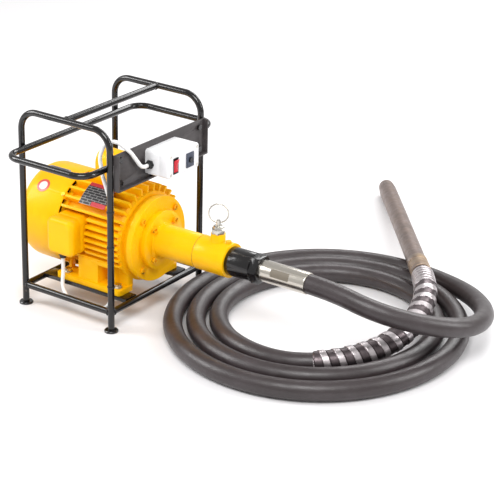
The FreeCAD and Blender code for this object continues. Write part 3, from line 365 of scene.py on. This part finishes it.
def sticker(name, colour, rim, rim_start):
    """A plain sticker: one colour with a rim of another, and nothing printed on it."""
    m = Mat(name, colour, 0.3, coat=0.3)
    uv = m.tree.nodes.new("ShaderNodeSeparateXYZ")
    m.put(uv, 0, m.tree.nodes.new("ShaderNodeUVMap").outputs[0])
    m.tint(rim, m.math("GREATER_THAN", uv.outputs["X"], rim_start))
    m.rougher(m.noise(120, 4, 0.6, low=0.3, high=0.8), 0.15)
    return m.done()


# ---------------------------------------------------------------- mesh helpers
def add(name, mesh, body, slot, *materials):
    """Put a mesh in the scene as a piece that rides on a body."""
    piece = bpy.data.objects.new(name, mesh)
    bpy.context.collection.objects.link(piece)
    for material in materials:
        mesh.materials.append(material)
    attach(piece, body)
    return piece


def from_bmesh(name, bm, sharp=35):
    mesh = bpy.data.meshes.new(name)
    bmesh.ops.recalc_face_normals(bm, faces=bm.faces)
    bm.to_mesh(mesh)
    bm.free()
    mesh.shade_smooth()
    mesh.set_sharp_from_angle(angle=math.radians(sharp))
    return mesh


def applied(piece):
    """Turn a piece's modifiers into its own mesh."""
    graph = bpy.context.evaluated_depsgraph_get()
    mesh = bpy.data.meshes.new_from_object(piece.evaluated_get(graph))
    old = piece.data
    piece.modifiers.clear()
    piece.data = mesh
    bpy.data.meshes.remove(old)


def softened(node, material, width):
    """A CAD node as paint, casting or moulding leaves it: the same shape with its edges rounded."""
    source = frame["nodes"][node]
    mesh = source.data.copy()
    mesh.materials.clear()
    bm = bmesh.new()
    bm.from_mesh(mesh)
    bmesh.ops.remove_doubles(bm, verts=bm.verts, dist=2e-6)
    bmesh.ops.dissolve_limit(bm, angle_limit=math.radians(0.4), verts=bm.verts, edges=bm.edges)
    bm.to_mesh(mesh)
    bm.free()
    if "custom_normal" in mesh.attributes:
        mesh.attributes.remove(mesh.attributes["custom_normal"])
    piece = add(node + "_finish", mesh, BODY_OF[node], SLOT_OF[node], material)
    bevel = piece.modifiers.new("edge", "BEVEL")
    bevel.width = width
    bevel.segments = 2
    bevel.limit_method = "ANGLE"
    bevel.angle_limit = math.radians(28)
    bevel.use_clamp_overlap = True
    bevel.harden_normals = False
    applied(piece)
    piece.data.shade_smooth()
    piece.data.set_sharp_from_angle(angle=math.radians(40))
    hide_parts(node)
    return piece


def side_vectors(way):
    """Two directions square to way and to each other."""
    side = Vector((0, 0, 1)).cross(way)
    if side.length < 0.1:
        side = Vector((1, 0, 0))
    side.normalize()
    return side, way.cross(side)


def lathe(name, profile, start, way):
    """A closed round solid from a profile of (distance along, radius), both ends capped."""
    segments = 96
    side, top = side_vectors(way)
    bm = bmesh.new()
    rings = []
    for along, radius in profile:
        ring = []
        for i in range(segments):
            a = 2 * math.pi * i / segments
            out = side * math.cos(a) + top * math.sin(a)
            ring.append(bm.verts.new(start + way * along + out * radius))
        rings.append(ring)
    for low, high in zip(rings, rings[1:]):
        for i in range(segments):
            j = (i + 1) % segments
            bm.faces.new((low[i], low[j], high[j], high[i]))
    bm.faces.new(rings[0])
    bm.faces.new(rings[-1])
    return from_bmesh(name, bm)


# ---------------------------------------------------------------- hose
TURN_STEPS = 14


def turn_point(step):
    """A point of the loose turns on the floor: an oval that shrinks and drifts at every turn."""
    t = step / TURN_STEPS
    a = 2 * math.pi * t
    along = (0.313 - 0.045 * t) * math.cos(a)
    across = (0.3345 - 0.0474 * t) * math.sin(a)
    skew = math.radians(11.5)
    x = 0.422 - 0.0048 * t + along * math.cos(skew) - across * math.sin(skew)
    y = 0.1068 + 0.0054 * t + along * math.sin(skew) + across * math.cos(skew)
    return x, y, HOSE_D / 2 + 0.0001


def hose_route():
    points = [(0.428, AXIS_Y, AXIS_Z), (0.500, AXIS_Y, AXIS_Z), (0.585, 0.012, 0.123),
              (0.662, 0.062, 0.098), (0.710, 0.138, 0.078), (0.704, 0.222, 0.063),
              (0.655, 0.306, 0.047), (0.566, 0.388, 0.028)]
    points += [turn_point(i) for i in range(3, 39)]
    points += [(0.482, -0.072, 0.0215), (0.545, -0.022, 0.026), (0.588, 0.048, 0.037),
               (0.603, 0.118, 0.054), (0.591, 0.190, 0.072)]
    points += [POKER_START - POKER_WAY * 0.061, POKER_START + POKER_WAY * 0.030]
    return [spot(*p) for p in points]


def smooth_line(name, points, thickness=0.0):
    """A curve object: one NURBS spline with the given control points."""
    curve = bpy.data.curves.new(name, "CURVE")
    curve.dimensions = "3D"
    curve.resolution_u = 8
    curve.bevel_depth = thickness / 2
    curve.bevel_resolution = 7
    curve.use_fill_caps = thickness > 0
    spline = curve.splines.new("NURBS")
    spline.points.add(len(points) - 1)
    for control, place in zip(spline.points, points):
        control.co = (*place, 1)
    spline.order_u = 3
    spline.use_endpoint_u = True
    piece = bpy.data.objects.new(name, curve)
    bpy.context.collection.objects.link(piece)
    return piece


def line_points(points):
    """The places that the route's smooth line runs through, read from its spline."""
    guide = smooth_line("guide", points)
    mesh = bpy.data.meshes.new_from_object(guide)
    places = [vert.co.copy() for vert in mesh.vertices]
    bpy.data.meshes.remove(mesh)
    curve = guide.data
    bpy.data.objects.remove(guide)
    bpy.data.curves.remove(curve)
    return places


class Line:
    """A run of places, read by distance along it."""

    def __init__(self, places):
        self.places = places
        self.at = [0.0]
        for a, b in zip(places, places[1:]):
            self.at.append(self.at[-1] + (b - a).length)
        self.length = self.at[-1]

    def read(self, s):
        """The place and direction at a distance along the line, smoothed over 6 mm each way."""
        return self._place(s), (self._place(s + 0.006) - self._place(s - 0.006)).normalized()

    def _place(self, s):
        if s <= 0:
            return self.places[0] + (self.places[1] - self.places[0]).normalized() * s
        if s >= self.length:
            return self.places[-1] + (self.places[-1] - self.places[-2]).normalized() * (s - self.length)
        i = max(k for k in range(len(self.at) - 1) if self.at[k] <= s)
        return self.places[i].lerp(self.places[i + 1], (s - self.at[i]) / (self.at[i + 1] - self.at[i]))


def make_guard(line, bright, dark):
    """The spiral bend guard: a flat spring wound round the hose, close at the poker and then open.

    Distances along it, back, run from its poker end. Across one turn, u runs from 0 to 1.
    """
    front = line.length - 0.030 - 0.004
    length = 0.400
    close_turns, close_pitch, open_pitch = 5, 0.0115, 0.027
    close_length = close_turns * close_pitch
    groove_end, wire_end = 0.07, 0.50
    root_r, groove_r, strip_r, wire_r = 0.0188, 0.0191, 0.0210, 0.0225
    steps, segments, taper_steps = 600, 72, 4

    def turns(back):
        """How many turns of the spring lie within a distance of its poker end."""
        if back < close_length:
            return back / close_pitch
        return close_turns + (back - close_length) / open_pitch

    def raised(u, back):
        """Whether a place on the spiral lies on the wire, which stands proud of the strip behind it."""
        return 0.1 < u < 0.9 if back < close_length else groove_end < u < wire_end

    def radius(u, back):
        if back < close_length:
            return 0.0198 + 0.0024 * math.sqrt(math.sin(math.pi * u))
        if u < groove_end:
            return groove_r
        return wire_r if raised(u, back) else strip_r

    bm = bmesh.new()
    rings = []
    for k in range(steps + 1):
        back = length * k / steps
        at, way = line.read(front - back)
        side, top = side_vectors(way)
        fade = min(1.0, k / taper_steps, (steps - k) / taper_steps)
        ring = []
        for i in range(segments):
            a = 2 * math.pi * i / segments
            r = radius((turns(back) + i / segments) % 1.0, back)
            r = root_r + (r - root_r) * fade
            ring.append(bm.verts.new(at + (side * math.cos(a) + top * math.sin(a)) * r))
        rings.append(ring)
    for k, (low, high) in enumerate(zip(rings, rings[1:])):
        back = length * (k + 0.5) / steps
        for i in range(segments):
            j = (i + 1) % segments
            face = bm.faces.new((low[i], low[j], high[j], high[i]))
            # Faces on the raised wire take the lighter material, as painted highlight; faces between the
            # turns take the darker one, as painted shade.
            face.material_index = 0 if raised((turns(back) + (i + 0.5) / segments) % 1.0, back) else 1
    piece = add("spiral_guard", from_bmesh("spiral_guard", bm, 50), "machine", "guard_steel", bright, dark)
    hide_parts("bend_guard")
    return piece


def make_hose():
    route = hose_route()
    line = Line(line_points(route))
    hose = smooth_line("hose_tube", route, HOSE_D)
    hose.data.materials.append(hose_rubber())
    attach(hose, "machine")
    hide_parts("hose")
    # A lighter copy of the guard steel is painted highlight on the raised wire, and a darker copy is painted
    # shade between the turns.
    guard = make_guard(line, guard_steel("guard_wire_painted_highlight", (0.50, 0.46, 0.47)),
                       guard_steel("guard_strip_painted_shade", (0.11, 0.09, 0.095)))


# ---------------------------------------------------------------- stickers and plates
def wrapped_patch(name, x_mid, lean, length, width, radius, thick, corner, material, slot):
    """A thin patch with rounded corners, wrapped on a cylinder about the motor's axis.

    lean is its angle from straight up towards -Y. U runs from its middle, 0, to its edge, 1.
    """
    corners = []
    for cx, cy, first in ((1, 1, 0), (-1, 1, 90), (-1, -1, 180), (1, -1, 270)):
        for k in range(9):
            a = math.radians(first + 90 * k / 8)
            corners.append((cx * (length / 2 - corner) + corner * math.cos(a),
                            cy * (width / 2 - corner) + corner * math.sin(a)))
    step = 0.002
    outline = []
    for (ax, ay), (bx, by) in zip(corners, corners[1:] + corners[:1]):
        parts = max(1, round(math.hypot(bx - ax, by - ay) / step))
        outline += [(ax + (bx - ax) * k / parts, ay + (by - ay) * k / parts) for k in range(parts)]
    levels = [i / 12 for i in range(1, 13)]
    bm = bmesh.new()
    uv = bm.loops.layers.uv.new("UVMap")
    inside = {}

    def place(x, y, r):
        a = math.radians(lean) + y / radius
        return spot(x_mid + x, AXIS_Y - math.sin(a) * r, AXIS_Z + math.cos(a) * r)

    def ring(scale, r):
        made = [bm.verts.new(place(x * scale, y * scale, r)) for x, y in outline]
        for vert in made:
            inside[vert] = scale
        return made

    centre = bm.verts.new(place(0, 0, radius + thick))
    inside[centre] = 0.0
    rings = [ring(s, radius + thick) for s in levels]
    rings.append(ring(1.0, radius - 0.0002))
    count = len(outline)
    for i in range(count):
        bm.faces.new((centre, rings[0][i], rings[0][(i + 1) % count]))
    for low, high in zip(rings, rings[1:]):
        for i in range(count):
            j = (i + 1) % count
            bm.faces.new((low[i], high[i], high[j], low[j]))
    for face in bm.faces:
        for loop in face.loops:
            loop[uv].uv = (inside[loop.vert], 0.5)
    return add(name, from_bmesh(name, bm), "machine", slot, material)


def wrapped_plate(name, x0, x1, lean0, lean1, radius, thick, material):
    """A plate bent round the motor, with U along the motor and V up it, from 0 to 1."""
    across, along = 14, 14
    bm = bmesh.new()
    uv = bm.loops.layers.uv.new("UVMap")
    grid = {}
    for level, r in ((0, radius), (1, radius + thick)):
        for i in range(along + 1):
            for j in range(across + 1):
                a = math.radians(lean0 + (lean1 - lean0) * j / across)
                x = x0 + (x1 - x0) * i / along
                place = spot(x, AXIS_Y - math.sin(a) * r, AXIS_Z + math.cos(a) * r)
                grid[level, i, j] = bm.verts.new(place)
    where = {vert: (key[1] / along, key[2] / across) for key, vert in grid.items()}
    for level in (0, 1):
        for i in range(along):
            for j in range(across):
                bm.faces.new((grid[level, i, j], grid[level, i + 1, j], grid[level, i + 1, j + 1],
                              grid[level, i, j + 1]))
    edge = [(i, 0) for i in range(along)] + [(along, j) for j in range(across)]
    edge += [(i, across) for i in range(along, 0, -1)] + [(0, j) for j in range(across, 0, -1)]
    for a, b in zip(edge, edge[1:] + edge[:1]):
        bm.faces.new((grid[(0, *a)], grid[(0, *b)], grid[(1, *b)], grid[(1, *a)]))
    for face in bm.faces:
        for loop in face.loops:
            loop[uv].uv = where[loop.vert]
    piece = add(name, from_bmesh(name, bm), "machine", "plate_metal", material)
    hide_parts("nameplate")
    return piece


# ---------------------------------------------------------------- round pieces
def make_ferrule(material, label):
    """The smooth sleeve that holds the hose to its socket, with a plain dark label on its near side."""
    start = spot(0.351, AXIS_Y, AXIS_Z)
    profile = [(0.0, 0.0186), (0.0, 0.0200), (0.0006, 0.0205), (0.0012, 0.0206), (0.0985, 0.0206),
               (0.0998, 0.0204), (0.1007, 0.0198), (0.1010, 0.0188)]
    slot = SLOT_OF["ferrule"]
    sleeve = lathe("ferrule_sleeve", profile, start, ALONG_X)
    piece = add("ferrule_sleeve", sleeve, "machine", slot, material)
    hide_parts("ferrule")
    wrapped_patch("ferrule_label", 0.399, 65, 0.040, 0.015, 0.0206, 0.0002, 0.0015, label, slot)


def make_adapter(material):
    """The poker's adapter: a sleeve with turned grooves that the hose and its guard run into."""
    profile = [(0.008, 0.0188), (0.008, 0.0194), (0.0088, 0.0205), (0.0240, 0.0205), (0.0250, 0.0196),
               (0.0268, 0.0196), (0.0278, 0.0205), (0.0520, 0.0205), (0.0535, 0.0191), (0.0560, 0.0187),
               (0.0585, 0.0191), (0.0600, 0.0203), (0.0768, 0.0203), (0.0780, 0.0196), (0.0780, 0.0150)]
    sleeve = lathe("poker_sleeve", profile, spot(*POKER_START), POKER_WAY)
    piece = add("poker_sleeve", sleeve, "machine", SLOT_OF["poker_adapter"], material)
    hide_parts("poker_adapter")


def make_seam(material):
    """A thin dark ring in the joint between the adaptor tube and the coupling housing, as painted shade in
    the seam.
    """
    profile = [(0.0, 0.0300), (0.0, 0.0334), (0.0007, 0.0334), (0.0007, 0.0300)]
    ring = lathe("joint_line", profile, spot(0.2107, AXIS_Y, AXIS_Z), ALONG_X)
    add("joint_line", ring, "machine", "motor_yellow", material)


def make_weld(name, place, way, radius, bead, material):
    """A welded seam: a ring of overlapping beads round a bar's end."""
    side, top = side_vectors(Vector(way))
    bm = bmesh.new()
    beads = 18
    steps, segments = beads * 4, 8
    rings = []
    for i in range(steps):
        a = 2 * math.pi * i / steps
        out = side * math.cos(a) + top * math.sin(a)
        fat = bead * (0.86 + 0.14 * math.cos(beads * a))
        ring = []
        for k in range(segments):
            b = 2 * math.pi * k / segments
            ring.append(bm.verts.new(Vector(place) + out * (radius + fat * math.cos(b))
                                     + Vector(way) * fat * math.sin(b)))
        rings.append(ring)
    for low, high in zip(rings, rings[1:] + rings[:1]):
        for k in range(segments):
            j = (k + 1) % segments
            bm.faces.new((low[k], low[j], high[j], high[k]))
    return add(name, from_bmesh(name, bm, 80), "machine", "frame_black", material)


# ---------------------------------------------------------------- every node's look
def make_looks():
    enamel = black_enamel()
    smooth = yellow_enamel("yellow_enamel_smooth", False)
    cast = yellow_enamel("yellow_enamel_cast", True)
    looks = {
        "frame_black": enamel,
        "plate_black": plate_black(),
        "motor_yellow": smooth,
        "lamination_steel": bright_steel("lamination_steel", (0.34, 0.35, 0.37), 0.4, (200, 1, 1), 12),
        "copper": copper(),
        "machined_steel": bright_steel("machined_steel"),
        "plated_steel": bright_steel("plated_steel", (0.66, 0.64, 0.58), 0.17, scratch=400),
        "painted_screws": yellow_screws(),
        "socket_black": black_enamel("black_oxide", 0.2),
        "guard_steel": guard_steel("guard_wire", (0.62, 0.58, 0.59)),
        "poker_steel": poker_steel("poker_steel", 0.10),
        "switch_white": moulded("switch_white", (0.86, 0.86, 0.87), 0.34),
        "lead_white": moulded("lead_white", (0.83, 0.83, 0.82), 0.36),
        "black_plastic": moulded("black_plastic", (0.014, 0.014, 0.015), 0.4),
        "rocker_red": moulded("rocker_red", (0.62, 0.012, 0.03), 0.22, coat=0.4),
        "breaker_blue": moulded("breaker_blue", (0.045, 0.055, 0.085), 0.36),
        "button_black": moulded("button_black", (0.012, 0.012, 0.014), 0.3),
        "plate_metal": nameplate_print(),
    }
    looks["hose_rubber"] = looks["black_plastic"]
    for node, piece in frame["nodes"].items():
        material = looks[SLOT_OF[node]]
        if node in ("stator_frame", "front_end_shield", "rear_end_shield"):
            material = cast
        if node == "plate_bolts":
            material = enamel
        for slot in piece.material_slots:
            slot.material = material
    for node, width in (("stator_frame", 0.0015), ("front_end_shield", 0.0012),
                        ("rear_end_shield", 0.001)):
        softened(node, cast, width)
    for node, width in (("fan_cowl", 0.0006), ("terminal_box", 0.001), ("terminal_cover", 0.001),
                        ("capacitor_cover", 0.0012), ("adaptor_tube", 0.0010), ("coupling_housing", 0.0012)):
        softened(node, smooth, width)
    for node, width in (("hose_socket", 0.0012), ("switch_base", 0.0008), ("switch_lid", 0.0008),
                        ("switch_plate", 0.0007), ("motor_bearers", 0.0010), ("rocker", 0.0006),
                        ("breaker", 0.0006), ("lock_nut", 0.0006), ("poker_tip", 0.0008)):
        softened(node, looks[SLOT_OF[node]], width)
    make_ferrule(brushed_steel(), moulded("dark_label", (0.17, 0.145, 0.11), 0.34))
    make_adapter(poker_steel("poker_sleeve_steel", 0.65))
    wrapped_plate("nameplate_bent", -0.024, 0.038, 22.0, 50.0, TOP_FIN_R, 0.0012, looks["plate_metal"])
    dark_sticker = sticker("cowl_label_print", (0.015, 0.014, 0.016), (0.25, 0.24, 0.25), 0.80)
    wrapped_patch("cowl_label", -0.1225, 14, 0.055, 0.020, COWL_R, 0.0003, 0.005, dark_sticker,
                  "motor_yellow")
    round_sticker = sticker("round_label_print", (0.80, 0.78, 0.72), (0.62, 0.05, 0.04), 0.64)
    wrapped_patch("round_label", -0.126, 41, 0.028, 0.028, COWL_R, 0.0003, 0.0139, round_sticker,
                  "motor_yellow")
    # The seam's dark ring is painted shade in the gap between the tube and the housing.
    make_seam(moulded("seam_painted_shade", (0.10, 0.045, 0.008), 0.5))
    weld_cage(enamel)


def yellow_screws():
    """Black screws that caught the motor's paint."""
    m = Mat("painted_screws", (0.02, 0.018, 0.016), 0.3, metal=0.4)
    m.tint(YELLOW, m.noise(90, 3, 0.6, low=0.34, high=0.44), 0.95)
    m.rougher(m.noise(60, 4, 0.6, low=0.3, high=0.8), 0.2)
    m.bump(m.noise(300, 3, 0.6), 0.0002)
    return m.done()


def weld_cage(material):
    """Beads where the base rails and the handle meet the hoops."""
    leg_x, leg_y, rail_z, top_z, half, bead = 0.1064, 0.138, 0.039, 0.395, 0.00635, 0.0016
    for x in (-1, 1):
        for y in (-1, 1):
            tag = ("back", "front")[x > 0] + ("_near", "_far")[y > 0]
            end = spot(x * (leg_x - half), y * leg_y, rail_z)
            make_weld("weld_rail_x_" + tag, end, (1, 0, 0), half, bead, material)
            end = spot(x * leg_x, y * (leg_y - half), rail_z)
            make_weld("weld_rail_y_" + tag, end, (0, 1, 0), half, bead, material)
    for y, tag in ((-1, "near"), (1, "far")):
        end = spot(0, y * (leg_y - half), top_z)
        make_weld("weld_handle_" + tag, end, (0, 1, 0), half, bead, material)


bpy.context.scene.view_settings.view_transform = "Standard"
make_camera()
make_stage()
make_hose()
make_looks()
